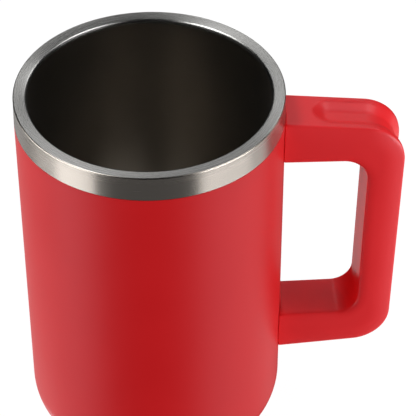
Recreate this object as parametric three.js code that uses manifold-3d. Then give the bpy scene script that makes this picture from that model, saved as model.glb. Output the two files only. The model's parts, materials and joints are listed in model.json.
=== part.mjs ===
// Insulated travel mug: a double-walled steel cup with a coated outside, a bare steel rim
// and a bolted-on loop handle. Millimetres, +Z up, origin on the cup's axis at its base,
// handle along +X.
import * as THREE from 'three';
import { mergeVertices } from 'three/addons/utils/BufferGeometryUtils.js';
import Module from 'manifold-3d';

const wasm = await Module();
wasm.setup();

// ---- Driving dimensions -------------------------------------------------------------
const GAP = 0.3;                 // clearance left between pieces that touch
const SHEET = 0.6;               // steel sheet of both walls and of the bottoms
const HEIGHT = 155;              // base to rim
const BAND_BOTTOM = 145;         // where the coat ends and the bare steel starts
const WALL_RADIUS = 50.06;       // outside of the outer shell at BAND_BOTTOM
const TAPER = 0.0145;            // radius lost per mm of height, going down
const BASE_CORNER = 20;          // round between the wall and the base
const CAP_RADIUS = 24;           // flat disc let into the base
const LIP_RADIUS = 50;           // outside of the lip
const LIP_DEPTH = 2.6;           // height of the lip's outer edge
const LIP_ROUND = 1.2;           // round on the lip's outer edge
const MOUTH_ROUND = 0.9;         // round between the lip's top and the liner
const LINER_RADIUS = 45.7;       // inside of the liner at the rim
const LINER_CORNER = 16;         // round between the liner's wall and its floor
const FLOOR_HEIGHT = 9;          // inside floor above the base
const FLOOR_SEAM = 25;           // height of the weld between liner wall and inner bottom

const HANDLE_WIDTH = 21.8;       // across the handle, along Y
const HANDLE_EDGE = 2.8;         // round on the handle's long edges
const SADDLE_GAP = 0.4;          // between the handle's ends and the wall
const GROOVE_HALF = 7.2;         // half the width of the groove along the handle's back
const GROOVE_DEPTH = 2.5;        // from the handle's back down to the cover strip
const COVER_HALF = 6.6;
const COVER_THICK = 2.4;
const HOLLOW_HALF = 5.6;         // half the width of the hollow under the cover strip
const HANDLE_FLOOR = 3;          // plastic left between the hollow and the fingers
const GROOVE_START_X = 60;       // where the groove's rounded ends lie on both arms
const START_X = 40;              // arms are drawn from inside the cup and cut back
const PAST_X = 120;              // beyond the handle, for cutting blocks
const OVERLAP = 0.1;             // cuts run into each other by this, so no skin is left

const TONGUE_THICK = 2;          // bracket tongue inside each arm
const TONGUE_HALF = 4.9;
const TONGUE_END_X = 79;
const PAD_THICK = 1.5;           // bracket's saddle, welded to the wall
const PAD_HALF = 7.2;
const PAD_HEIGHT = 8;
const PAD_REACH_X = 52;          // beyond the pad, for the block it is cut from
const SCREW_X = [65.5, 74.5];    // two screws in line on each tongue
const SCREW_RADIUS = 1.8;
const HEAD_RADIUS = 3.4;
const HEAD_HEIGHT = 2;
const DRIVE_RADIUS = 1.25;       // hexagon socket in each screw head
const DRIVE_DEPTH = 1.2;
const BOSS_RADIUS = 4.2;
const BOSS_ROOT = 1;             // bosses start this far behind the handle's front
const PILOT_SKIN = 1.6;          // plastic left between a screw hole and the fingers

const AROUND = 64;               // facets round the cup
const AROUND_SMALL = 24;         // facets round small turned pieces

// ---- Materials ----------------------------------------------------------------------
const finish = (color, roughness, metalness) =>
  new THREE.MeshStandardMaterial({ color, roughness, metalness });
const COAT = finish(0xb5181c, 0.5, 0);
const HANDLE_PLASTIC = finish(0xbe1f20, 0.42, 0);
const BRUSHED = finish(0xa9a7a2, 0.32, 1);
const LINER_STEEL = finish(0x8d8a84, 0.35, 1);
const PLAIN_STEEL = finish(0x9b9b9b, 0.4, 1);
const COPPER = finish(0xb87333, 0.3, 1);
const GETTER = finish(0x55534f, 0.8, 0);
const SEAL = finish(0x3d4046, 0.3, 0);
const ZINC = finish(0xb9bcc0, 0.35, 1);

// ---- Solids -------------------------------------------------------------------------
function toSolid(geometry) {
  const plain = geometry.clone();
  plain.deleteAttribute('normal');
  plain.deleteAttribute('uv');
  const merged = mergeVertices(plain, 1e-4);
  const mesh = new wasm.Mesh({
    numProp: 3,
    vertProperties: new Float32Array(merged.attributes.position.array),
    triVerts: new Uint32Array(merged.index.array),
  });
  return new wasm.Manifold(mesh);
}

function toGeometry(solid) {
  const mesh = solid.getMesh();
  const geometry = new THREE.BufferGeometry();
  const positions = new THREE.BufferAttribute(new Float32Array(mesh.vertProperties), 3);
  geometry.setAttribute('position', positions);
  geometry.setIndex(new THREE.BufferAttribute(new Uint32Array(mesh.triVerts), 1));
  geometry.computeVertexNormals();
  return geometry;
}

function piece(name, geometry, material) {
  const mesh = new THREE.Mesh(geometry, material);
  mesh.name = name;
  return mesh;
}

// A profile of [radius, height] pairs turned about Z.
function turned(profile, around = AROUND) {
  const points = profile.map(([r, z]) => new THREE.Vector2(r, z));
  return new THREE.LatheGeometry(points, around).rotateX(Math.PI / 2);
}

function arc(cx, cz, radius, from, to, steps) {
  const points = [];
  for (let i = 0; i <= steps; i += 1) {
    const a = THREE.MathUtils.degToRad(from + ((to - from) * i) / steps);
    points.push([cx + radius * Math.cos(a), cz + radius * Math.sin(a)]);
  }
  return points;
}

const wallRadius = (z) => WALL_RADIUS - TAPER * (BAND_BOTTOM - z);
const linerRadius = (z) => LINER_RADIUS - TAPER * (HEIGHT - z);
const LEAN = THREE.MathUtils.radToDeg(Math.atan(TAPER));

// ---- The cup ------------------------------------------------------------------------
// Coated wall, its rounded bottom edge and the narrow ring it stands on.
function outerShell() {
  const top = BAND_BOTTOM - GAP;
  const cornerX = wallRadius(BASE_CORNER) - BASE_CORNER;
  const opening = CAP_RADIUS + GAP;
  const outside = arc(cornerX, BASE_CORNER, BASE_CORNER, -90, -LEAN, 7);
  const inside = arc(cornerX, BASE_CORNER, BASE_CORNER - SHEET, -LEAN, -90, 7);
  const profile = [
    [opening, SHEET],
    [opening, 0],
    ...outside,
    [wallRadius(top), top],
    [wallRadius(top) - SHEET, top],
    ...inside,
    [opening, SHEET],
  ];
  return piece('outer_shell', turned(profile), COAT);
}

// Bare top of the outer wall, between the coat and the lip.
function rimBand() {
  const top = HEIGHT - LIP_DEPTH - GAP;
  const profile = [
    [wallRadius(BAND_BOTTOM) - SHEET, BAND_BOTTOM],
    [wallRadius(BAND_BOTTOM), BAND_BOTTOM],
    [LIP_RADIUS - 0.2, top],
    [LIP_RADIUS - 0.2 - SHEET, top],
    [wallRadius(BAND_BOTTOM) - SHEET, BAND_BOTTOM],
  ];
  return piece('rim_band', turned(profile), BRUSHED);
}

// Inside wall with the thick rolled lip that you drink from.
function innerLiner() {
  const lipX = LIP_RADIUS - LIP_ROUND;
  const lipZ = HEIGHT - LIP_ROUND;
  const mouthX = LINER_RADIUS + MOUTH_ROUND;
  const mouthZ = HEIGHT - MOUTH_ROUND;
  const under = HEIGHT - LIP_DEPTH;
  const seam = FLOOR_SEAM + GAP;
  const profile = [
    [linerRadius(seam), seam],
    [linerRadius(seam) + SHEET, seam],
    [linerRadius(under) + SHEET, under],
    [LIP_RADIUS - 0.3, under],
    ...arc(lipX, lipZ, LIP_ROUND, 0, 90, 4),
    ...arc(mouthX, mouthZ, MOUTH_ROUND, 90, 180, 3),
    [linerRadius(seam), seam],
  ];
  return piece('inner_liner', turned(profile), LINER_STEEL);
}

// Drawn bottom of the inside wall, welded on just above its rounded corner.
function innerBottom() {
  const cornerX = linerRadius(FLOOR_SEAM) - LINER_CORNER;
  const cornerZ = FLOOR_HEIGHT + LINER_CORNER;
  const outside = arc(cornerX, cornerZ, LINER_CORNER + SHEET, -90, 0, 6);
  const inside = arc(cornerX, cornerZ, LINER_CORNER, 0, -90, 6);
  const profile = [[0, FLOOR_HEIGHT - SHEET], ...outside, ...inside, [0, FLOOR_HEIGHT]];
  return piece('inner_bottom', turned(profile), LINER_STEEL);
}

// Closes the vacuum space; its raised centre has the small hole the air is drawn from.
const PLATE_Z = 3;
const DIMPLE_RISE = 1;
const VENT_RADIUS = 1.2;
function vacuumBottom() {
  const edge = 33;
  const edgeZ = 1.8;
  const profile = [
    [VENT_RADIUS, PLATE_Z + DIMPLE_RISE],
    [4, PLATE_Z + DIMPLE_RISE],
    [5.5, PLATE_Z],
    [28, PLATE_Z],
    [31, edgeZ],
    [edge, edgeZ],
    [edge, edgeZ + SHEET],
    [31.3, edgeZ + SHEET],
    [28.3, PLATE_Z + SHEET],
    [5.2, PLATE_Z + SHEET],
    [3.7, PLATE_Z + DIMPLE_RISE + SHEET],
    [VENT_RADIUS, PLATE_Z + DIMPLE_RISE + SHEET],
    [VENT_RADIUS, PLATE_Z + DIMPLE_RISE],
  ];
  return piece('vacuum_bottom', turned(profile, 48), PLAIN_STEEL);
}

// Solder bead that seals the air hole from below.
function ventSeal() {
  const top = PLATE_Z + DIMPLE_RISE - GAP;
  const profile = [[0, top - 1.3], [2.2, top - 1], [3.2, top - 0.4], [3.2, top], [0, top]];
  return piece('vent_seal', turned(profile, AROUND_SMALL), SEAL);
}

// Flat disc that covers the seal and carries the middle of the mug's weight.
function baseCap() {
  const profile = [[0, 0], [CAP_RADIUS, 0], [CAP_RADIUS, SHEET], [0, SHEET]];
  return piece('base_cap', turned(profile), BRUSHED);
}

// Small cup under the inner bottom and the tablet in it that binds the last of the air.
const GETTER_X = -14;
function getter() {
  const top = FLOOR_HEIGHT - SHEET - GAP;
  const wall = 0.5;
  const outer = 4.6;
  const low = top - 2.5;
  const cup = [
    [outer - wall, low],
    [outer, low],
    [outer, top],
    [0, top],
    [0, top - wall],
    [outer - wall, top - wall],
    [outer - wall, low],
  ];
  const tabletTop = top - wall - GAP;
  const tabletRadius = outer - wall - GAP;
  const tablet = [
    [0, low + 0.2],
    [tabletRadius, low + 0.2],
    [tabletRadius, tabletTop],
    [0, tabletTop],
  ];
  const cupPiece = piece('getter_cup', turned(cup, AROUND_SMALL), PLAIN_STEEL);
  const tabletPiece = piece('getter_tablet', turned(tablet, AROUND_SMALL), GETTER);
  cupPiece.position.x = GETTER_X;
  tabletPiece.position.x = GETTER_X;
  return [cupPiece, tabletPiece];
}

// Sleeve of foil round the liner that turns radiated heat back.
function copperFoil() {
  const low = 30;
  const high = 140;
  const stand = SHEET + 0.5;
  const thick = 0.3;
  const profile = [
    [linerRadius(low) + stand, low],
    [linerRadius(low) + stand + thick, low],
    [linerRadius(high) + stand + thick, high],
    [linerRadius(high) + stand, high],
    [linerRadius(low) + stand, low],
  ];
  return piece('copper_foil', turned(profile), COPPER);
}

// ---- Handle outlines, in the XZ plane -----------------------------------------------
// Each outline runs from the upper arm round the grip to the lower arm.
const BACK = {
  corners: [[START_X, 144.7], [95, 137.9], [90.4, 36.25], [START_X, 33.64]],
  rounds: [15.7, 14.8],
};
const FRONT = {
  corners: [[START_X, 126.2], [80.4, 124.6], [77.6, 50.4], [START_X, 50.96]],
  rounds: [9.4, 8.5],
};

// The same outline moved towards the fingers by depth.
function inset({ corners, rounds }, depth) {
  const points = corners.map(([x, z]) => new THREE.Vector2(x, z));
  const lines = [];
  for (let i = 0; i + 1 < points.length; i += 1) {
    const along = points[i + 1].clone().sub(points[i]).normalize();
    const inward = new THREE.Vector2(along.y, -along.x);
    lines.push({ point: points[i].clone().addScaledVector(inward, depth), along });
  }
  const crossing = (a, b) => {
    const span = b.point.clone().sub(a.point);
    const t = span.cross(b.along) / a.along.cross(b.along);
    return a.point.clone().addScaledVector(a.along, t);
  };
  const last = points[3].clone().addScaledVector(
    new THREE.Vector2(lines[2].along.y, -lines[2].along.x), depth);
  const moved = [lines[0].point, crossing(lines[0], lines[1]), crossing(lines[1], lines[2]), last];
  return { corners: moved.map((p) => [p.x, p.y]), rounds: rounds.map((r) => r - depth) };
}

function filleted({ corners, rounds }, steps) {
  const points = corners.map(([x, z]) => new THREE.Vector2(x, z));
  const path = [points[0]];
  for (let i = 1; i < 3; i += 1) {
    const back = points[i - 1].clone().sub(points[i]).normalize();
    const ahead = points[i + 1].clone().sub(points[i]).normalize();
    const half = back.angleTo(ahead) / 2;
    const middle = back.clone().add(ahead).normalize();
    const centre = points[i].clone().addScaledVector(middle, rounds[i - 1] / Math.sin(half));
    const run = rounds[i - 1] / Math.tan(half);
    const start = points[i].clone().addScaledVector(back, run).sub(centre);
    const turn = Math.PI - 2 * half;
    for (let k = 0; k <= steps; k += 1) {
      const spoke = start.clone().rotateAround(new THREE.Vector2(), (-turn * k) / steps);
      path.push(centre.clone().add(spoke));
    }
  }
  path.push(points[3]);
  return path;
}

// Plate standing in the XZ plane between two outlines, centred on Y = 0.
function bandSolid(outer, inner, width, edge = 0) {
  const path = [...filleted(outer, 8), ...filleted(inner, 6).reverse()];
  const shape = new THREE.Shape(path);
  const geometry = new THREE.ExtrudeGeometry(shape, {
    depth: width - 2 * edge,
    bevelEnabled: edge > 0,
    bevelThickness: edge,
    bevelSize: edge,
    bevelOffset: -edge,
    bevelSegments: 3,
    curveSegments: 1,
  });
  geometry.translate(0, 0, edge - width / 2);
  geometry.rotateX(Math.PI / 2);
  return toSolid(geometry);
}

function block(x0, x1, y0, y1, z0, z1) {
  const box = new THREE.BoxGeometry(x1 - x0, y1 - y0, z1 - z0);
  return toSolid(box.translate((x0 + x1) / 2, (y0 + y1) / 2, (z0 + z1) / 2));
}

function post(x, z0, z1, radius, around = AROUND_SMALL) {
  const cylinder = new THREE.CylinderGeometry(radius, radius, z1 - z0, around);
  return toSolid(cylinder.rotateX(Math.PI / 2).translate(x, 0, (z0 + z1) / 2));
}

// Solid of the cup's outside, used to cut the handle and the brackets to its shape.
function cupBody(clearance) {
  const low = wallRadius(0) + clearance;
  const high = wallRadius(HEIGHT) + clearance;
  return toSolid(turned([[0, 0], [low, 0], [high, HEIGHT], [0, HEIGHT]]));
}

// Slot along the handle's back, between two depths, with rounded ends on both arms.
function backSlot(from, to, half, startX) {
  const outer = inset(BACK, from);
  const inner = inset(BACK, to);
  const strip = bandSolid(outer, inner, 2 * half);
  const endX = startX + half;
  const reach = block(endX, PAST_X, -half, half, 0, HEIGHT);
  const ends = post(endX, 0, HEIGHT, half);
  return strip.intersect(reach.add(ends));
}

// Height of an arm's front, where the fingers are, at a given x.
function frontZ([ax, az], [bx, bz]) {
  return (x) => az + ((bz - az) * (x - ax)) / (bx - ax);
}
const [frontA, frontB, frontC, frontD] = FRONT.corners;
const UPPER = { tongueZ: 130.3, side: 1, front: frontZ(frontA, frontB) };
const LOWER = { tongueZ: 45.3, side: -1, front: frontZ(frontD, frontC) };

// Heights are measured from the tongue's finger side, positive towards the handle's back.
function armSpan(arm, a, b) {
  const low = arm.tongueZ + arm.side * a;
  const high = arm.tongueZ + arm.side * b;
  return [Math.min(low, high), Math.max(low, high)];
}

function handleBody() {
  let body = bandSolid(BACK, FRONT, HANDLE_WIDTH, HANDLE_EDGE);
  body = body.subtract(backSlot(-HANDLE_EDGE, GROOVE_DEPTH, GROOVE_HALF, GROOVE_START_X));
  const seat = GROOVE_DEPTH + COVER_THICK + GAP;
  const seatHalf = COVER_HALF + GAP;
  const seatStart = GROOVE_START_X + GROOVE_HALF - seatHalf;
  body = body.subtract(backSlot(GROOVE_DEPTH - OVERLAP, seat, seatHalf, seatStart));
  const hollowStart = GROOVE_START_X + GROOVE_HALF - HOLLOW_HALF;
  const hollowFloor = inset(FRONT, -HANDLE_FLOOR);
  const hollow = bandSolid(inset(BACK, seat - OVERLAP), hollowFloor, 2 * HOLLOW_HALF);
  const hollowReach = block(hollowStart, PAST_X, -HOLLOW_HALF, HOLLOW_HALF, 0, HEIGHT);
  body = body.subtract(hollow.intersect(hollowReach));
  for (const arm of [UPPER, LOWER]) {
    for (const x of SCREW_X) {
      const front = arm.side * (arm.front(x) - arm.tongueZ);
      const [low, high] = armSpan(arm, front + BOSS_ROOT, -GAP);
      body = body.add(post(x, low, high, BOSS_RADIUS));
      const [pilotLow, pilotHigh] = armSpan(arm, front + PILOT_SKIN, TONGUE_THICK);
      body = body.subtract(post(x, pilotLow, pilotHigh, SCREW_RADIUS + GAP));
    }
    const [slotLow, slotHigh] = armSpan(arm, -GAP, TONGUE_THICK + GAP);
    const slotHalf = TONGUE_HALF + GAP;
    const slotEnd = hollowStart + slotHalf;
    body = body.subtract(block(START_X, slotEnd, -slotHalf, slotHalf, slotLow, slotHigh));
    const middle = arm.tongueZ + (arm.side * TONGUE_THICK) / 2;
    const tall = PAD_HEIGHT / 2 + GAP;
    const wide = PAD_HALF + GAP;
    const pocket = block(START_X, PAD_REACH_X, -wide, wide, middle - tall, middle + tall);
    body = body.subtract(pocket.intersect(cupBody(PAD_THICK + 2 * GAP)));
  }
  return piece('handle_body', toGeometry(body.subtract(cupBody(SADDLE_GAP))), HANDLE_PLASTIC);
}

// Strip set into the handle's back, over the hollow and the screws.
function handleCover() {
  const startX = GROOVE_START_X + GROOVE_HALF - COVER_HALF;
  const strip = backSlot(GROOVE_DEPTH, GROOVE_DEPTH + COVER_THICK, COVER_HALF, startX);
  return piece('handle_cover', toGeometry(strip), HANDLE_PLASTIC);
}

// Steel tongue with a curved pad that is welded to the wall.
function bracket(name, arm) {
  const middle = arm.tongueZ + (arm.side * TONGUE_THICK) / 2;
  const tall = PAD_HEIGHT / 2;
  const plate = block(START_X, PAD_REACH_X, -PAD_HALF, PAD_HALF, middle - tall, middle + tall);
  const [low, high] = armSpan(arm, 0, TONGUE_THICK);
  let solid = plate.intersect(cupBody(PAD_THICK + GAP / 2));
  const tongueTip = TONGUE_END_X - TONGUE_HALF;
  solid = solid.add(block(START_X, tongueTip, -TONGUE_HALF, TONGUE_HALF, low, high));
  solid = solid.add(post(tongueTip, low, high, TONGUE_HALF));
  solid = solid.subtract(cupBody(GAP / 2));
  for (const x of SCREW_X) {
    solid = solid.subtract(post(x, low - OVERLAP, high + OVERLAP, SCREW_RADIUS + GAP));
  }
  return piece(name, toGeometry(solid), PLAIN_STEEL);
}

function screw(name, arm, x) {
  const under = TONGUE_THICK + GAP;
  const top = under + HEAD_HEIGHT;
  const [headLow, headHigh] = armSpan(arm, under, top);
  const tip = arm.side * (arm.front(x) - arm.tongueZ) + PILOT_SKIN + GAP;
  const [shankLow, shankHigh] = armSpan(arm, tip, under + OVERLAP);
  const [driveLow, driveHigh] = armSpan(arm, top - DRIVE_DEPTH, top + OVERLAP);
  const solid = post(x, headLow, headHigh, HEAD_RADIUS)
    .add(post(x, shankLow, shankHigh, SCREW_RADIUS, 16))
    .subtract(post(x, driveLow, driveHigh, DRIVE_RADIUS, 6));
  return piece(name, toGeometry(solid), ZINC);
}

// ---- Assembly -----------------------------------------------------------------------
const mug = new THREE.Group();
mug.name = 'insulated_travel_mug';
mug.add(outerShell(), rimBand(), innerLiner(), innerBottom());
mug.add(vacuumBottom(), ventSeal(), baseCap(), ...getter(), copperFoil());
mug.add(handleBody(), handleCover());
mug.add(bracket('upper_bracket', UPPER), bracket('lower_bracket', LOWER));
for (const [label, arm] of [['upper', UPPER], ['lower', LOWER]]) {
  mug.add(screw(`${label}_screw_near_wall`, arm, SCREW_X[0]));
  mug.add(screw(`${label}_screw_at_tip`, arm, SCREW_X[1]));
}

export default mug;
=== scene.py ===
# %% [markdown]
# # An insulated travel mug
#
# The mug is a cup of two steel walls with the air drawn out from between them. The outer wall is
# coated red up to a bare steel band, and a moulded loop handle is screwed to two steel tongues.
# This lesson starts from the packed CAD model, which fixes every size and place, and makes a finer
# mesh and a finish for each piece that shows.

# %% Load the frame
import json
import math

import bmesh
import bpy
from mathutils import Matrix, Vector


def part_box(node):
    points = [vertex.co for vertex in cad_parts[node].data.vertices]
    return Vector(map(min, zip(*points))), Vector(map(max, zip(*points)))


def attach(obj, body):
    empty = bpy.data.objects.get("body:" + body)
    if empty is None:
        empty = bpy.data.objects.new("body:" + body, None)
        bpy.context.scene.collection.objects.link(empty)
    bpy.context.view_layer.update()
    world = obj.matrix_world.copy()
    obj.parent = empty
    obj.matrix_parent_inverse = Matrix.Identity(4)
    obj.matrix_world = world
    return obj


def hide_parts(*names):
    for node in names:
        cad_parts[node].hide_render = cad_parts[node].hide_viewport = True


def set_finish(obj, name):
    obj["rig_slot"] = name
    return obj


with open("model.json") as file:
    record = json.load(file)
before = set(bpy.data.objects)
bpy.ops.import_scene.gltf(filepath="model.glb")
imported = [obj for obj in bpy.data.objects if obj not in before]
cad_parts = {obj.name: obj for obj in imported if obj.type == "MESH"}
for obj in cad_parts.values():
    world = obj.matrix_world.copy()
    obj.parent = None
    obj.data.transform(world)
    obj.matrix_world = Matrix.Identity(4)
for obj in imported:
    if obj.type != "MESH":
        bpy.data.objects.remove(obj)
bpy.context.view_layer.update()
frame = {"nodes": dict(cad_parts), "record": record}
MM = 0.001


def top_of(node):
    """Highest point of a CAD node, in mm."""
    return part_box(node)[1].z / MM


def foot_of(node):
    """Lowest point of a CAD node, in mm."""
    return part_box(node)[0].z / MM


def widest_of(node):
    """Furthest a CAD node reaches in x, in mm. For a turned part that is its radius."""
    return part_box(node)[1].x / MM


# %% [markdown]
# ## From rings to a mesh
#
# Nearly every piece of a mug can be described as a stack of closed rings. A turned part is a stack
# of circles, and the handle is a stack of loops that run along it. So one helper joins each ring to
# the next with quads. Primitives could be bent into these shapes, but rings put each edge exactly
# where a round or a joint needs it.

# %% Join rings into a piece
WELD = 1e-7
SHARP_DEGREES = 40


def ring_mesh(name, rings, wrap=False):
    """Closed mesh through rings of equal length in mm; points that fall together are welded."""
    shape = bmesh.new()
    rows = [[shape.verts.new(Vector(point) * MM) for point in ring] for ring in rings]
    if wrap:
        rows.append(rows[0])
    for lower, upper in zip(rows, rows[1:]):
        for i in range(len(lower)):
            j = (i + 1) % len(lower)
            shape.faces.new((lower[i], lower[j], upper[j], upper[i]))
    bmesh.ops.remove_doubles(shape, verts=shape.verts, dist=WELD)
    bmesh.ops.dissolve_degenerate(shape, edges=shape.edges, dist=WELD)
    bmesh.ops.recalc_face_normals(shape, faces=shape.faces)
    mesh = bpy.data.meshes.new(name)
    shape.to_mesh(mesh)
    shape.free()
    mesh.shade_smooth()
    mesh.set_sharp_from_angle(angle=math.radians(SHARP_DEGREES))
    return mesh


def put_in_scene(name, data):
    made = bpy.data.objects.new(name, data)
    bpy.context.scene.collection.objects.link(made)
    return made


def loft(name, rings, slot, replaced, wrap=False):
    """A piece of the mug: it rides on the one body and stands for a CAD node."""
    piece = put_in_scene(name, ring_mesh(name, rings, wrap))
    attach(piece, "root")
    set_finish(piece, slot)
    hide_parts(replaced)
    print(f"{name}: {len(piece.data.vertices)} points, {len(piece.data.polygons)} faces")
    return piece


FACETS = 256


def turned_rings(profile, facets=FACETS):
    """Rings on a lathe, from (radius, height) pairs in mm."""
    turns = [2 * math.pi * i / facets for i in range(facets)]
    return [[(r * math.cos(a), r * math.sin(a), z) for a in turns] for r, z in profile]


def turned(name, profile, slot, replaced, wrap=True):
    return loft(name, turned_rings(profile), slot, replaced, wrap)


def steps(a, b, count):
    """Evenly spaced numbers from a to b, both included."""
    return [a + (b - a) * i / count for i in range(count + 1)]


def arc(centre, radius, start, end, count):
    """Points on a round, from one angle to another in degrees."""
    angles = [math.radians(angle) for angle in steps(start, end, count)]
    return [(centre[0] + radius * math.cos(a), centre[1] + radius * math.sin(a)) for a in angles]


print("facets round a turned part:", FACETS)


# %% [markdown]
# ## The outer wall
#
# The wall is pressed from 0.6 mm steel. It narrows a little towards the base and turns in on a wide
# round, so that it fits a cup holder. A lathe in code is the shortest way to such a shape. The
# profile goes up the outside and down the inside, and an extra ring just under the coat's top edge
# keeps the smooth shading of the small edge off the tall wall.

# %% Coated wall
SHEET = 0.6
TAPER = 0.0145
BAND_FOOT = foot_of("rim_band")
WALL_AT_BAND = 50.06
BASE_ROUND = 20


def wall_radius(z):
    return WALL_AT_BAND - TAPER * (BAND_FOOT - z)


DISC_GAP = 0.15
COAT_GAP = 0.06
FOOT_CHAMFER = 0.12
COAT_CHAMFER = 0.1
lean = math.degrees(math.atan(TAPER))
base_opening = widest_of("base_cap") + DISC_GAP
coat_top = BAND_FOOT - COAT_GAP
base_centre = (wall_radius(BASE_ROUND) - BASE_ROUND, BASE_ROUND)
coated_wall = turned("coated_wall", [
    (base_opening, SHEET),
    (base_opening, FOOT_CHAMFER),
    (base_opening + FOOT_CHAMFER, 0),
    *arc(base_centre, BASE_ROUND, -90, -lean, 28),
    *[(wall_radius(z), z) for z in (45, 75, 105, 130, coat_top - 0.25)],
    (wall_radius(coat_top), coat_top - COAT_CHAMFER),
    (wall_radius(coat_top) - 0.08, coat_top),
    (wall_radius(coat_top) - SHEET, coat_top),
    *arc(base_centre, BASE_ROUND - SHEET, -lean, -90, 14),
], "coated_wall", "outer_shell")

# %% [markdown]
# ## The bare band
#
# The top 10 mm of the outer wall is left uncoated and brushed. It is one sheet with the coated wall
# on a real mug, but it has a finish of its own, so it is a ring of its own. It leans in by a few
# hundredths of a millimetre to meet the lip, and its foot is eased where the coat begins.

# %% Rim band
RIM = top_of("inner_liner")
LIP_RADIUS = widest_of("inner_liner")
LIP_DEPTH = 2.6
lip_foot = RIM - LIP_DEPTH
band_top = lip_foot - 0.002
rim_band = turned("rim_ring", [
    (WALL_AT_BAND - SHEET, BAND_FOOT),
    (WALL_AT_BAND - 0.12, BAND_FOOT),
    (WALL_AT_BAND - 0.02, BAND_FOOT + 0.1),
    (LIP_RADIUS + 0.02, BAND_FOOT + 4),
    (LIP_RADIUS, band_top),
    (LIP_RADIUS - SHEET, band_top),
], "brushed_rim", "rim_band")

# %% [markdown]
# ## The lip and the lining
#
# The lining is rolled over the band into a flat-topped lip, and the weld under it is polished
# flush, so no line shows there. The lip's top slopes a few degrees towards the mouth, so that drips
# run back in. Its rounds are small but they carry the brightest lines on the mug, so each has
# several steps. The round at the mouth sits where the sloping top, carried on from the outer round,
# just touches it.

# %% Liner and lip
LIP_ROUND = 0.45
LIP_SLOPE = 6.0
MOUTH_ROUND = 1.2
LINER_AT_RIM = 44.9
SEAM = foot_of("inner_liner")


def liner_radius(z):
    return LINER_AT_RIM - TAPER * (RIM - z)


lip_centre = (LIP_RADIUS - LIP_ROUND, RIM - LIP_ROUND)
slope = math.radians(LIP_SLOPE)
mouth_x = LINER_AT_RIM + MOUTH_ROUND
mouth_drop = (MOUTH_ROUND - LIP_ROUND) / math.cos(slope) + (lip_centre[0] - mouth_x) * math.tan(slope)
mouth_centre = (mouth_x, lip_centre[1] - mouth_drop)
liner_wall = turned("liner_wall_and_lip", [
    (liner_radius(SEAM) + SHEET, SEAM - 0.2),
    *[(liner_radius(z) + SHEET, z) for z in (60, 100, 140)],
    (liner_radius(lip_foot) + SHEET, lip_foot),
    (LIP_RADIUS, lip_foot),
    (LIP_RADIUS, lip_centre[1] - 0.15),
    *arc(lip_centre, LIP_ROUND, 0, 90 + LIP_SLOPE, 12),
    *arc(mouth_centre, MOUTH_ROUND, 90 + LIP_SLOPE, 180, 12),
    *[(liner_radius(z), z) for z in (mouth_centre[1] - 0.3, 150, 140, 110, 80, 50)],
    (liner_radius(SEAM), SEAM - 0.2),
], "liner_steel", "inner_liner")

# %% [markdown]
# ## Inside floor and base disc
#
# The floor of the lining is drawn in one with its rounded corner and welded to the wall. The disc
# underneath covers the sealed air hole. Both profiles start and end on the axis.

# %% Cup floor and base disc
FLOOR = 9
LINER_ROUND = 16
floor_centre = (liner_radius(25) - LINER_ROUND, FLOOR + LINER_ROUND)
cup_floor = turned("cup_floor", [
    (0, FLOOR - SHEET),
    *arc(floor_centre, LINER_ROUND + SHEET, -90, 0, 16),
    *arc(floor_centre, LINER_ROUND, 0, -90, 16),
    (0, FLOOR),
], "liner_steel", "inner_bottom", wrap=False)

disc_radius = widest_of("base_cap")
base_disc = turned("base_disc", [
    (0, 0),
    (disc_radius - 0.15, 0),
    (disc_radius, 0.15),
    (disc_radius, SHEET),
    (0, SHEET),
], "brushed_rim", "base_cap", wrap=False)

# %% [markdown]
# ## The handle's two outlines
#
# Seen from the side the handle is the space between two outlines: its back, and the front that the
# fingers touch. Both are three straight runs joined by two rounds. Matching stations are taken
# along the two, run by run and round by round, so that a section can be drawn between each pair.

# %% Stations along the handle
BACK_CORNERS = [(40, 144.7), (94.85, 137.9), (90.25, 35.6), (40, 33.0)]
BACK_ROUNDS = [15.7, 14.8]
FRONT_CORNERS = [(40, 126.4), (80.7, 124.8), (77.9, 50.0), (40, 50.5)]
FRONT_ROUNDS = [9.4, 8.5]
RUN_STEPS = (16, 22, 64, 22, 16)


def stations(corners, rounds, start_x, end_x):
    """Pairs of a place and its inward normal, from the upper arm to the lower. The count in each
    run and each round is always the same."""
    points = [Vector(corner) for corner in corners]
    ways = [(b - a).normalized() for a, b in zip(points, points[1:])]
    inward = [Vector((way.y, -way.x)) for way in ways]
    tangents = []
    for i, radius in enumerate(rounds):
        half = ways[i].angle(ways[i + 1]) / 2
        reach = radius * math.tan(half)
        tangents.append((points[i + 1] - ways[i] * reach, points[i + 1] + ways[i + 1] * reach))

    def along(i, x):
        return points[i] + ways[i] * ((x - points[i].x) / ways[i].x)

    legs = [
        (along(0, start_x), tangents[0][0], inward[0]),
        (tangents[0][1], tangents[1][0], inward[1]),
        (tangents[1][1], along(2, end_x), inward[2]),
    ]
    made = []
    for i, (a, b, normal) in enumerate(legs):
        count = RUN_STEPS[2 * i]
        first = 0 if i == 0 else 1
        made += [(a.lerp(b, k / count), normal) for k in range(first, count + 1)]
        if i < 2:
            centre = b + normal * rounds[i]
            turn = ways[i].angle(ways[i + 1])
            count = RUN_STEPS[2 * i + 1]
            for k in range(1, count + 1):
                spun = normal.copy()
                spun.rotate(Matrix.Rotation(-turn * k / count, 2))
                made.append((centre - spun * rounds[i], spun))
    return made


GROOVE_START = 67.4
FRONT_LEAD_ABOVE = 1.6
FRONT_LEAD_BELOW = 0.8
back = stations(BACK_CORNERS, BACK_ROUNDS, GROOVE_START, GROOVE_START)
front = stations(FRONT_CORNERS, FRONT_ROUNDS,
                 GROOVE_START - FRONT_LEAD_ABOVE, GROOVE_START - FRONT_LEAD_BELOW)
print("stations:", len(back), len(front))

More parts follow.
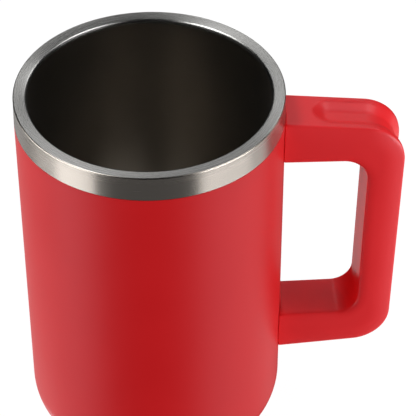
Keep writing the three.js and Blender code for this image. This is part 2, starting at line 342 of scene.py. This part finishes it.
# %% [markdown]
# ## The end of an arm
#
# The handle meets the cup on a curved saddle. Inside the groove the end of a section is a half
# circle, and out on the arms it opens until it is square against the wall of the cup. A small step
# back at the border leaves a dark line where the two meet, as between any two real parts.

# %% Round an arm's end
END_STEPS = 30
SADDLE_GAP = 0.03
END_GROOVE = 0.35


def end_places(half, spread, near_wall, inset):
    """(distance towards the cup, y) round one arm's end, from the near side to the far side.
    spread goes from 0, a half circle, to 1, square against the wall."""
    third = END_STEPS // 3
    border = min(END_GROOVE, 0.4 * half)
    edge_reach = near_wall(half) - inset - border
    places = []
    for k in range(1, END_STEPS):
        angle = math.pi * (k / END_STEPS - 0.5)
        circle = (half * math.cos(angle), half * math.sin(angle))
        if k <= third:
            y = -half
            reach = edge_reach * k / third
        elif k < 2 * third:
            y = (half - border) * (2 * (k - third) - third) / (third - 2)
            reach = near_wall(y) - inset
        else:
            y = half
            reach = edge_reach * (END_STEPS - k) / third
        places.append((circle[0] + (reach - circle[0]) * spread,
                       circle[1] + (y - circle[1]) * spread))
    return places


print("points round an arm's end:", END_STEPS - 1)

# %% [markdown]
# ## Loops round the handle
#
# The handle's skin is made of loops. Each loop runs down the near side, round the lower arm's end,
# up the far side and round the upper arm's end. It lies between the back and the front outline, so
# a stack of loops makes groove, ridges, sides and front in one surface. One closed surface shades
# more evenly than a bar with a groove cut out of it.

# %% Loop builder
def loop(half, back_depth, front_height, share, spread=0.0, inset=0.0):
    """One loop. half is its half width in y; share goes from 0 at the back to 1 at the front, and
    back_depth and front_height are how far inside those two outlines it is measured from."""
    backs = [place + inward * back_depth for place, inward in back]
    fronts = [place - inward * front_height for place, inward in front]

    def end(index, neighbour):
        """Points round one arm's end, from the near side to the far side."""
        back_way = (back[index][0] - back[neighbour][0]).normalized()
        front_way = (front[index][0] - front[neighbour][0]).normalized()
        middle = back[index][0].lerp(front[index][0], share)
        middle_way = back_way.lerp(front_way, share).normalized()
        radius = wall_radius(middle.y) + SADDLE_GAP

        def to_wall(start, way, y):
            """How much further a straight run goes before it meets the wall of the cup."""
            return (start.x - math.sqrt(radius ** 2 - y ** 2)) / -way.x

        points = []
        for reach, y in end_places(half, spread, lambda y: to_wall(middle, middle_way, y), inset):
            back_reach = front_reach = reach
            if spread > 0:
                part = reach / to_wall(middle, middle_way, y)
                back_reach = to_wall(backs[index], back_way, y) * part
                front_reach = to_wall(fronts[index], front_way, y) * part
            back_end = backs[index] + back_way * back_reach
            spot = back_end.lerp(fronts[index] + front_way * front_reach, share)
            points.append((spot.x, y, spot.y))
        return points

    run = [a.lerp(b, share) for a, b in zip(backs, fronts)]
    near_side = [(spot.x, -half, spot.y) for spot in run]
    far_side = [(spot.x, half, spot.y) for spot in run]
    return near_side + end(-1, -2) + far_side[::-1] + end(0, 1)[::-1]


print("points in a loop:", len(loop(1, 0, 0, 0)))

# %% [markdown]
# ## The hollow and the groove
#
# The groove along the back is a shallow trough about two millimetres deep, with gently sloping
# sides. Under it the handle is hollow, to save plastic and to make room for the screws. The loops
# start in the middle of the hollow's floor, go up its side to the seat of the strip, and out
# through the groove.

# %% Hollow and groove
GROOVE_EDGE = 7.9
GROOVE_DEPTH = 2.1
GROOVE_FLOOR_HALF = 1.8
STRIP_HALF = 6.45
STRIP_FOOT = 4.8
HOLLOW_HALF = 5.5
HANDLE_FLOOR = 3


def smooth(t):
    t = min(max(t, 0.0), 1.0)
    return t * t * (3 - 2 * t)


def groove_depth(half):
    """Depth of the groove below the handle's back, at a distance from its centre line."""
    rise = smooth((half - GROOVE_FLOOR_HALF) / (GROOVE_EDGE - GROOVE_FLOOR_HALF))
    return GROOVE_DEPTH * (1 - rise)


shell = [loop(half, 0, HANDLE_FLOOR, 1) for half in (0, 1.5, 3, 4.5, HOLLOW_HALF - 0.3)]
seat = STRIP_FOOT + 0.1
shell += [loop(HOLLOW_HALF, seat, HANDLE_FLOOR + 0.3, share) for share in (1, 0.66, 0.33, 0)]
gap_half = STRIP_HALF + 0.02
shell += [loop(gap_half, seat, 0, 0)]
shell += [loop(gap_half, seat + (groove_depth(gap_half) - seat) * t, 0, 0) for t in (0.3, 0.6, 0.9)]
shell += [loop(half, groove_depth(half), 0, 0) for half in steps(gap_half + 0.04, GROOVE_EDGE, 7)]
print("loops up to the groove's edge:", len(shell))

# %% [markdown]
# ## Ridges, sides and front
#
# Outside the groove a narrow ridge is left, which rolls over a small round into the handle's sides.
# A side is softly bulged so that it fills a hand: its back part falls away on a parabola towards
# the ridge, and its front edge is a quarter ellipse, long down the side and short across it. The
# front itself is flat.

# %% Handle shell
HALF_WIDTH = 10.8
BACK_BULGE = 1.6
BACK_ROUND = 0.4
BACK_EDGE_DEPTH = 8.4
FRONT_EDGE_WIDTH = 1.3
FRONT_EDGE_DEPTH = 4.2
shoulder = HALF_WIDTH - BACK_BULGE - BACK_ROUND
for i, half in enumerate(steps(GROOVE_EDGE, shoulder, 8)[1:]):
    open_out = smooth((i + 1) / 8)
    shell.append(loop(half, 0, 0, 0, spread=open_out, inset=END_GROOVE * open_out))
for angle in steps(0, 90, 14)[1:]:
    a = math.radians(angle)
    depth = BACK_EDGE_DEPTH * (1 - math.cos(a))
    rolled = max(0.0, 1 - depth)
    half = HALF_WIDTH - BACK_BULGE * math.cos(a) ** 2 - BACK_ROUND * (1 - math.sqrt(1 - rolled ** 2))
    shell.append(loop(half, depth, 0, 0, spread=1, inset=max(0.0, END_GROOVE - depth)))
for share in (0.33, 0.66):
    shell.append(loop(HALF_WIDTH, BACK_EDGE_DEPTH, FRONT_EDGE_DEPTH, share, spread=1))
for angle in steps(90, 0, 12):
    a = math.radians(angle)
    half = HALF_WIDTH - FRONT_EDGE_WIDTH * (1 - math.sin(a))
    height = FRONT_EDGE_DEPTH * (1 - math.cos(a))
    shell.append(loop(half, 0, height, 1, spread=1, inset=max(0.0, END_GROOVE - height)))
inner_half = HALF_WIDTH - FRONT_EDGE_WIDTH
for t in steps(1, 0, 6)[1:]:
    shell.append(loop(inner_half * t, 0, 0, 1, spread=t, inset=END_GROOVE))
handle_shell = loft("handle_shell", shell, "handle_plastic", "handle_body")

# %% [markdown]
# ## The strip in the groove
#
# The trough's floor is a strip of its own, pressed in over the hollow to hide the screws. It
# follows the same groove curve, so the joint is only a hairline.

# %% Groove strip
strip = [loop(half, groove_depth(half), 0, 0) for half in steps(0, STRIP_HALF - 0.02, 22)]
strip += [loop(STRIP_HALF, groove_depth(STRIP_HALF) + 0.02, 0, 0)]
strip += [loop(STRIP_HALF, groove_depth(STRIP_HALF) + t, 0, 0) for t in (1.2, 2.4)]
strip += [loop(STRIP_HALF, STRIP_FOOT, 0, 0)]
strip += [loop(half, STRIP_FOOT, 0, 0) for half in (4, 2, 0)]
groove_strip = loft("groove_strip", strip, "handle_plastic", "handle_cover")

# %% [markdown]
# ## Writing a finish as a sum
#
# A finish is a small tree of nodes. Wiring them one by one hides the idea, so a wrapper round an
# output socket lets Python's own + - * / build the Math nodes.

# %% Sockets that add up
class Wire:
    """An output socket that can be used in a sum."""

    def __init__(self, tree, socket):
        self.tree, self.socket = tree, socket

    def __add__(self, other):
        return self.tree.maths("ADD", self, other)

    def __sub__(self, other):
        return self.tree.maths("SUBTRACT", self, other)

    def __rsub__(self, other):
        return self.tree.maths("SUBTRACT", other, self)

    def __mul__(self, other):
        return self.tree.maths("MULTIPLY", self, other)

    def __truediv__(self, other):
        return self.tree.maths("DIVIDE", self, other)

    def __rtruediv__(self, other):
        return self.tree.maths("DIVIDE", other, self)

    __radd__ = __add__
    __rmul__ = __mul__


print("reflected operators:", [name for name in vars(Wire) if name.startswith("__r")])

# %% [markdown]
# ## A tree that makes its nodes
#
# One method makes any node: its type, its settings, and the values or links of its sockets. The
# few nodes that come up again and again get short names of their own.

# %% Trees and finishes
class Tree:
    """Makes nodes in one material or world."""

    def __init__(self, owner):
        owner.use_nodes = True
        self.nodes, self.links = owner.node_tree.nodes, owner.node_tree.links
        self.nodes.clear()

    def node(self, kind, settings=None, inputs=None, output=0):
        """A node of this kind: its settings first, then the values or links of its sockets."""
        made = self.nodes.new(kind)
        for name, value in (settings or {}).items():
            setattr(made, name, value)
        for key, value in (inputs or {}).items():
            if isinstance(value, Wire):
                self.links.new(value.socket, made.inputs[key])
            else:
                made.inputs[key].default_value = value
        return Wire(self, made.outputs[output] if made.outputs else None)

    def maths(self, operation, *values):
        return self.node("ShaderNodeMath", {"operation": operation}, dict(enumerate(values)))

    def noise(self, where, scale, detail=2.0, roughness=0.5):
        inputs = {"Vector": where, "Scale": scale, "Detail": detail, "Roughness": roughness}
        return self.node("ShaderNodeTexNoise", None, inputs)

    def blend(self, share, first, second):
        """Mix of two colours; share 0 gives the first."""
        inputs = {0: share, 6: first, 7: second}
        return self.node("ShaderNodeMix", {"data_type": "RGBA"}, inputs, output=2)

    def object_place(self):
        return self.node("ShaderNodeTexCoord", output=3)

    def split(self, where):
        """The three numbers of a place."""
        outputs = self.node("ShaderNodeSeparateXYZ", None, {0: where}).socket.node.outputs
        return [Wire(self, socket) for socket in outputs]


finishes = {}


def make_finish(slot, build):
    """A new material in a slot of the record, filled by its builder."""
    finishes[slot] = bpy.data.materials.new(slot)
    build(finishes[slot])
    print(f"{slot}: {len(finishes[slot].node_tree.nodes)} nodes")


# %% [markdown]
# ## A skin with a fine relief
#
# Every finish here ends the same way: one shader with a bump that is measured in metres, so that
# the relief keeps its real height. A finish with two zones makes two skins and mixes them.

# %% Skin and surface
def skin(tree, bump, bump_height, inputs):
    sockets = {"Strength": 1.0, "Distance": bump_height, "Height": bump}
    relief = tree.node("ShaderNodeBump", None, sockets)
    return tree.node("ShaderNodeBsdfPrincipled", None, {**inputs, "Normal": relief})


def surface(tree, shader):
    tree.node("ShaderNodeOutputMaterial", None, {0: shader})


MICRON = 1e-6
print("a relief of one micron is", MICRON, "m")

# %% [markdown]
# ## Red powder coat
#
# Powder is sprayed on dry and baked, which leaves a satin skin with a very fine orange peel. Its
# colour is even, so the noise changes it by only a few parts in a hundred, and most of the work is
# in the roughness and the bump. Its gloss is a little cooler than the light, as on most paints.

# %% Powder coat
COOL_GLOSS = (0.8, 0.86, 1.0, 1)
COAT_RED = (0.627, 0.0043, 0.0056, 1)
COAT_RED_LIGHT = (0.687, 0.0056, 0.0069, 1)


def powder_coat(material):
    tree = Tree(material)
    where = tree.object_place()
    cloud = tree.noise(where, 40.0, 3.0)
    peel = tree.noise(where, 1500.0)
    dust = tree.noise(where, 6000.0, 1.0)
    surface(tree, skin(tree, 0.7 * peel + 0.3 * dust, 12 * MICRON, {
        "Base Color": tree.blend(cloud, COAT_RED, COAT_RED_LIGHT),
        "Roughness": 0.39 + 0.08 * cloud,
        "Specular IOR Level": 0.43,
        "Specular Tint": COOL_GLOSS,
    }))


make_finish("coated_wall", powder_coat)

# %% [markdown]
# ## Moulded plastic
#
# The handle is moulded in the same red. The mould's fine spark finish blurs a reflection, while the
# skin of the plastic still gives a faint sharp one, so a rough base carries a thin clear coat. The
# grain is finer than on the coated wall.

# %% Handle plastic
PLASTIC_RED = (0.95, 0.0141, 0.0172, 1)
PLASTIC_RED_LIGHT = (1.0, 0.0172, 0.0203, 1)


def moulded_plastic(material):
    tree = Tree(material)
    where = tree.object_place()
    cloud = tree.noise(where, 60.0, 3.0)
    grain = tree.noise(where, 4500.0)
    surface(tree, skin(tree, grain, 8 * MICRON, {
        "Base Color": tree.blend(cloud, PLASTIC_RED, PLASTIC_RED_LIGHT),
        "Roughness": 0.46 + 0.08 * cloud + 0.04 * grain,
        "Specular IOR Level": 0.55,
        "Specular Tint": COOL_GLOSS,
        "Coat Weight": 0.22,
        "Coat Roughness": 0.18,
    }))


make_finish("handle_plastic", moulded_plastic)

# %% [markdown]
# ## Brushed steel
#
# The band and the lip are turned against an abrasive belt. Seen close, the surface is a set of fine
# grooves round the cup. They blur reflections up and down but leave them sharp sideways, which is
# what the shader's anisotropy does, and the noise adds the single scratches. That noise is read in
# turned coordinates, far apart round the cup and close together across it.

# %% Brushed band
STEEL = (0.586, 0.534, 0.482, 1)
STEEL_WORN = (0.51, 0.463, 0.416, 1)
BAND_ROUGHNESS = 0.23
SCRATCH_LENGTH = 3.0
SCRATCHES_PER_METRE = 5200.0
ACROSS_THE_TOP = 1.7
QUARTER_TURN = 0.25


def scratches(tree, where):
    """Noise that is stretched round the axis, with the radius and the height it is read at."""
    x, y, z = tree.split(where)
    radius = tree.maths("SQRT", x * x + y * y)
    turned_place = tree.node("ShaderNodeCombineXYZ", None, {
        0: x / radius * SCRATCH_LENGTH,
        1: y / radius * SCRATCH_LENGTH,
        2: (z + radius * ACROSS_THE_TOP) * SCRATCHES_PER_METRE,
    })
    return tree.noise(turned_place, 1.0, 3.0, 0.6), radius, z


def brushed_band(material):
    tree = Tree(material)
    lines = scratches(tree, tree.object_place())[0]
    surface(tree, skin(tree, lines, 2.2 * MICRON, {
        "Base Color": tree.blend(lines, STEEL_WORN, STEEL),
        "Metallic": 1.0,
        "Roughness": BAND_ROUGHNESS + 0.06 * lines,
        "Anisotropic": 0.85,
        "Anisotropic Rotation": QUARTER_TURN,
    }))


make_finish("brushed_rim", brushed_band)

# %% [markdown]
# ## The lip and the lining
#
# The lining is one piece of steel with two finishes. The lip is brushed like the band, and its
# outer side takes the band's colour so that the two run together. Down inside, the steel is only
# tumbled to an even satin. A test on the height and the radius picks the zone at each point.

# %% Lip and lining
LIP_STEEL = (0.548, 0.543, 0.53, 1)
LIP_WORN = (0.492, 0.488, 0.474, 1)
LIP_ROUGHNESS = 0.22
SATIN_STEEL = (0.511, 0.479, 0.437, 1)
SATIN_SHADE = (0.467, 0.439, 0.402, 1)
SATIN_ROUGHNESS = 0.28
LIP_SIDE = LIP_RADIUS - 0.3
BRUSHED_DOWN_TO = RIM - 1.9


def lining_steel(material):
    tree = Tree(material)
    where = tree.object_place()
    lines, radius, z = scratches(tree, where)
    outside = tree.maths("GREATER_THAN", radius, LIP_SIDE * MM)
    top_steel = tree.blend(lines, LIP_WORN, LIP_STEEL)
    side_steel = tree.blend(lines, STEEL_WORN, STEEL)
    brushed = skin(tree, lines, 1.5 * MICRON, {
        "Base Color": tree.blend(outside, top_steel, side_steel),
        "Metallic": 1.0,
        "Roughness": LIP_ROUGHNESS + 0.10 * lines,
        "Anisotropic": 0.8,
        "Anisotropic Rotation": QUARTER_TURN,
    })
    soft = tree.noise(where, 90.0, 3.0)
    satin = skin(tree, tree.noise(where, 4000.0), 2 * MICRON, {
        "Base Color": tree.blend(soft, SATIN_SHADE, SATIN_STEEL),
        "Metallic": 1.0,
        "Roughness": SATIN_ROUGHNESS + 0.06 * soft,
    })
    inside = tree.maths("LESS_THAN", z, BRUSHED_DOWN_TO * MM) * (1 - outside)
    surface(tree, tree.node("ShaderNodeMixShader", None, {0: inside, 1: brushed, 2: satin}))


make_finish("liner_steel", lining_steel)

# %% [markdown]
# ## The pieces inside
#
# The plate, the getter, the foil, the brackets and the screws never show, but they are there in the
# model, so each has a plain finish of its own: two shades of its metal, mixed by a grain.

# %% Hidden finishes
def grained(dark, light, metallic, roughness, scale, height):
    """A builder for a finish with one grain in its colour, roughness and relief."""
    def build(material):
        tree = Tree(material)
        grain = tree.noise(tree.object_place(), scale, 3.0)
        surface(tree, skin(tree, grain, height, {
            "Base Color": tree.blend(grain, (*dark, 1), (*light, 1)),
            "Metallic": metallic,
            "Roughness": roughness + 0.15 * grain,
        }))
    return build


make_finish("plain_steel", grained((0.5, 0.5, 0.5), (0.62, 0.62, 0.61), 1.0, 0.3, 900.0, 5 * MICRON))
make_finish("foil", grained((0.62, 0.3, 0.15), (0.75, 0.42, 0.24), 1.0, 0.25, 300.0, 30 * MICRON))
make_finish("getter", grained((0.05, 0.05, 0.05), (0.1, 0.1, 0.095), 0.3, 0.75, 3000.0, 20 * MICRON))
make_finish("seal", grained((0.02, 0.022, 0.025), (0.05, 0.052, 0.058), 0.0, 0.15, 500.0, 10 * MICRON))
make_finish("screw_steel", grained((0.55, 0.56, 0.58), (0.68, 0.7, 0.72), 1.0, 0.25, 1500.0, 4 * MICRON))

# %% [markdown]
# ## Putting the finishes on
#
# A fine piece takes the finish of the slot it was given. The CAD nodes that are kept take theirs
# from the record, and the replaced ones get it too, so no node is left plain.

# %% Finishes on the pieces
for piece in (coated_wall, rim_band, liner_wall, cup_floor, base_disc, handle_shell, groove_strip):
    piece.data.materials.append(finishes[piece["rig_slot"]])
for part in frame["record"]["subparts"]:
    node = frame["nodes"][part["node"]]
    node.data.materials.clear()
    node.data.materials.append(finishes[part["material_slot"]])
print("finishes:", sorted(finishes))

# %% [markdown]
# ## The white sweep
#
# The mug stands on a plain white floor that curves up all round into a white wall, as a studio
# sweep does. It is turned on the same lathe as the cup. It is only a background: the light comes
# from elsewhere, so it is switched off for every ray but the camera's.

# %% White sweep
SWEEP_GLOW = 1.0
SWEEP_MATT = 0.04
SWEEP_RADIUS = 6000
SWEEP_CURVE = 2500
SWEEP_DROP = 0.2
SWEEP_FACETS = 64


def white_sweep(material):
    tree = Tree(material)
    mottle = tree.noise(tree.object_place(), 3.0)
    white = tree.blend(mottle, (0.99, 0.99, 0.99, 1), (1, 1, 1, 1))
    glow = tree.node("ShaderNodeEmission", None, {"Color": white, "Strength": SWEEP_GLOW})
    matt = tree.node("ShaderNodeBsdfDiffuse", None, {"Color": (SWEEP_MATT, SWEEP_MATT, SWEEP_MATT, 1)})
    surface(tree, tree.node("ShaderNodeAddShader", None, {0: glow, 1: matt}))


curve_centre = (SWEEP_RADIUS - SWEEP_CURVE, SWEEP_CURVE - SWEEP_DROP)
sweep_rings = turned_rings([
    *[(radius, -SWEEP_DROP) for radius in (0, 200, 1000, 2000)],
    *arc(curve_centre, SWEEP_CURVE, -90, 0, 12),
    (SWEEP_RADIUS, 5000),
    (4000, 7500),
    (0, 8500),
], SWEEP_FACETS)
sweep = put_in_scene("sweep", ring_mesh("sweep", sweep_rings))
make_finish("white_sweep", white_sweep)
sweep.data.materials.append(finishes["white_sweep"])
for ray in ("diffuse", "glossy", "transmission", "volume_scatter", "shadow"):
    setattr(sweep, "visible_" + ray, False)

# %% [markdown]
# ## The camera
#
# A long lens stands nearly a metre in front and looks down about forty degrees, so the rim is a
# wide ellipse and the walls hardly converge. Its three directions are worked out from how far it is
# turned, lowered and tilted, and they are the columns of its matrix.

# %% Camera
CAMERA_AT = Vector((-40.1, -825.1, 638.3 + RIM)) * MM
CAMERA_DOWN = math.radians(40.04)
CAMERA_TURN = math.radians(4.25)
CAMERA_TILT = math.radians(-0.476)
forward = Vector((math.sin(CAMERA_TURN) * math.cos(CAMERA_DOWN),
                  math.cos(CAMERA_TURN) * math.cos(CAMERA_DOWN), -math.sin(CAMERA_DOWN)))
level = Vector((math.cos(CAMERA_TURN), -math.sin(CAMERA_TURN), 0))
above = level.cross(forward)
camera_right = level * math.cos(CAMERA_TILT) + above * math.sin(CAMERA_TILT)
camera_up = above * math.cos(CAMERA_TILT) - level * math.sin(CAMERA_TILT)
lens = bpy.data.cameras.new("camera")
lens.sensor_width = 36
lens.lens = 246.7
lens.clip_start = 0.05
lens.clip_end = 50
camera = put_in_scene("camera", lens)
facing = Matrix((camera_right, camera_up, -forward)).transposed().to_4x4()
camera.matrix_world = Matrix.Translation(CAMERA_AT) @ facing
bpy.context.scene.camera = camera
bpy.context.scene.view_settings.view_transform = "Standard"
bpy.context.scene.view_settings.look = "None"
print("camera at", [round(v, 3) for v in CAMERA_AT], "m, lens", lens.lens, "mm")

# %% [markdown]
# ## Soft light from all round
#
# Polished steel shows whatever stands round it, so the light is drawn as a room of soft patches,
# each at a bearing and a height in degrees with a blurred edge. Two wide boxes stand low at the
# left and right, the white table glows under them, and a few lamps stand high at the back. Nothing
# bright stands near the camera, which leaves the dark middle in the rim's band.

# %% Light patches
LIGHT_PATCHES = [
    # bearing, height, half width, half height, side edge, top edge, strength
    (-33, -9, 22, 9, 10, 14, 10),       # the box at the right
    (190, -13, 31, 10, 35, 10, 7.2),    # the box at the left
    (200, -34, 19, 11, 2, 10, 1.25),    # its foot, with a hard edge towards the front
    (-27, -40, 25, 12, 8, 12, 0.5),     # the table at the right
    (25, -37, 28, 14, 20, 20, 0.75),    # the table further round
    (110, -43, 25, 8, 28, 12, 0.75),    # the table at the back
    (135, -70, 15, 16, 24, 24, 7),      # a bright spot of table close to the mug
    (-15, -68, 25, 17, 30, 20, 0.8),    # a dimmer one
    (-90, -42, 50, 20, 30, 18, 0.13),   # the dim front of the table
    (12, -12, 22, 8, 22, 12, 0.95),     # the wall beside the right box
    (80, 20, 10, 13, 28, 12, 0.9),      # the wall at the back
    (58, 40, 17, 4, 8, 4, 2.7),         # a strip high at the back, to the right
    (93, 41, 3, 8, 3, 6, 2.5),          # a narrow one in the middle
    (140, 63, 20, 7, 22, 12, 7),        # a soft lamp overhead at the back left
    (-5, 60, 30, 10, 50, 20, 4.6),      # one at the right
    (187, 63, 22, 8, 28, 6, 6.5),       # one at the left
]
HALF_TURN = 180.0


def fade(tree, distance, half, edge):
    """1 well inside the half width, 0 outside it, and smooth between."""
    return tree.node("ShaderNodeMapRange", {"interpolation_type": "SMOOTHSTEP"}, {
        "Value": distance, "From Min": half + edge / 2, "From Max": half - edge / 2})


def light_room(world, patches):
    tree = Tree(world)
    x, y, z = tree.split(tree.node("ShaderNodeTexCoord"))
    bearing = tree.maths("ARCTAN2", y, x) * math.degrees(1)
    height = tree.maths("ARCSINE", z) * math.degrees(1)

    def patch_light(aim, lift, half_width, half_height, side_edge, top_edge, strength):
        turn = tree.maths("WRAP", bearing - aim, HALF_TURN, -HALF_TURN)
        across = fade(tree, tree.maths("ABSOLUTE", turn), half_width, side_edge)
        upright = fade(tree, tree.maths("ABSOLUTE", height - lift), half_height, top_edge)
        return across * upright * strength

    glow = sum(patch_light(*patch) for patch in patches)
    lit = tree.node("ShaderNodeBackground", None, {"Color": (1, 1, 1, 1), "Strength": glow})
    tree.node("ShaderNodeOutputWorld", None, {0: lit})


room = bpy.data.worlds.new("light_room")
light_room(room, LIGHT_PATCHES)
bpy.context.scene.world = room
print("light patches:", len(LIGHT_PATCHES))

# %% [markdown]
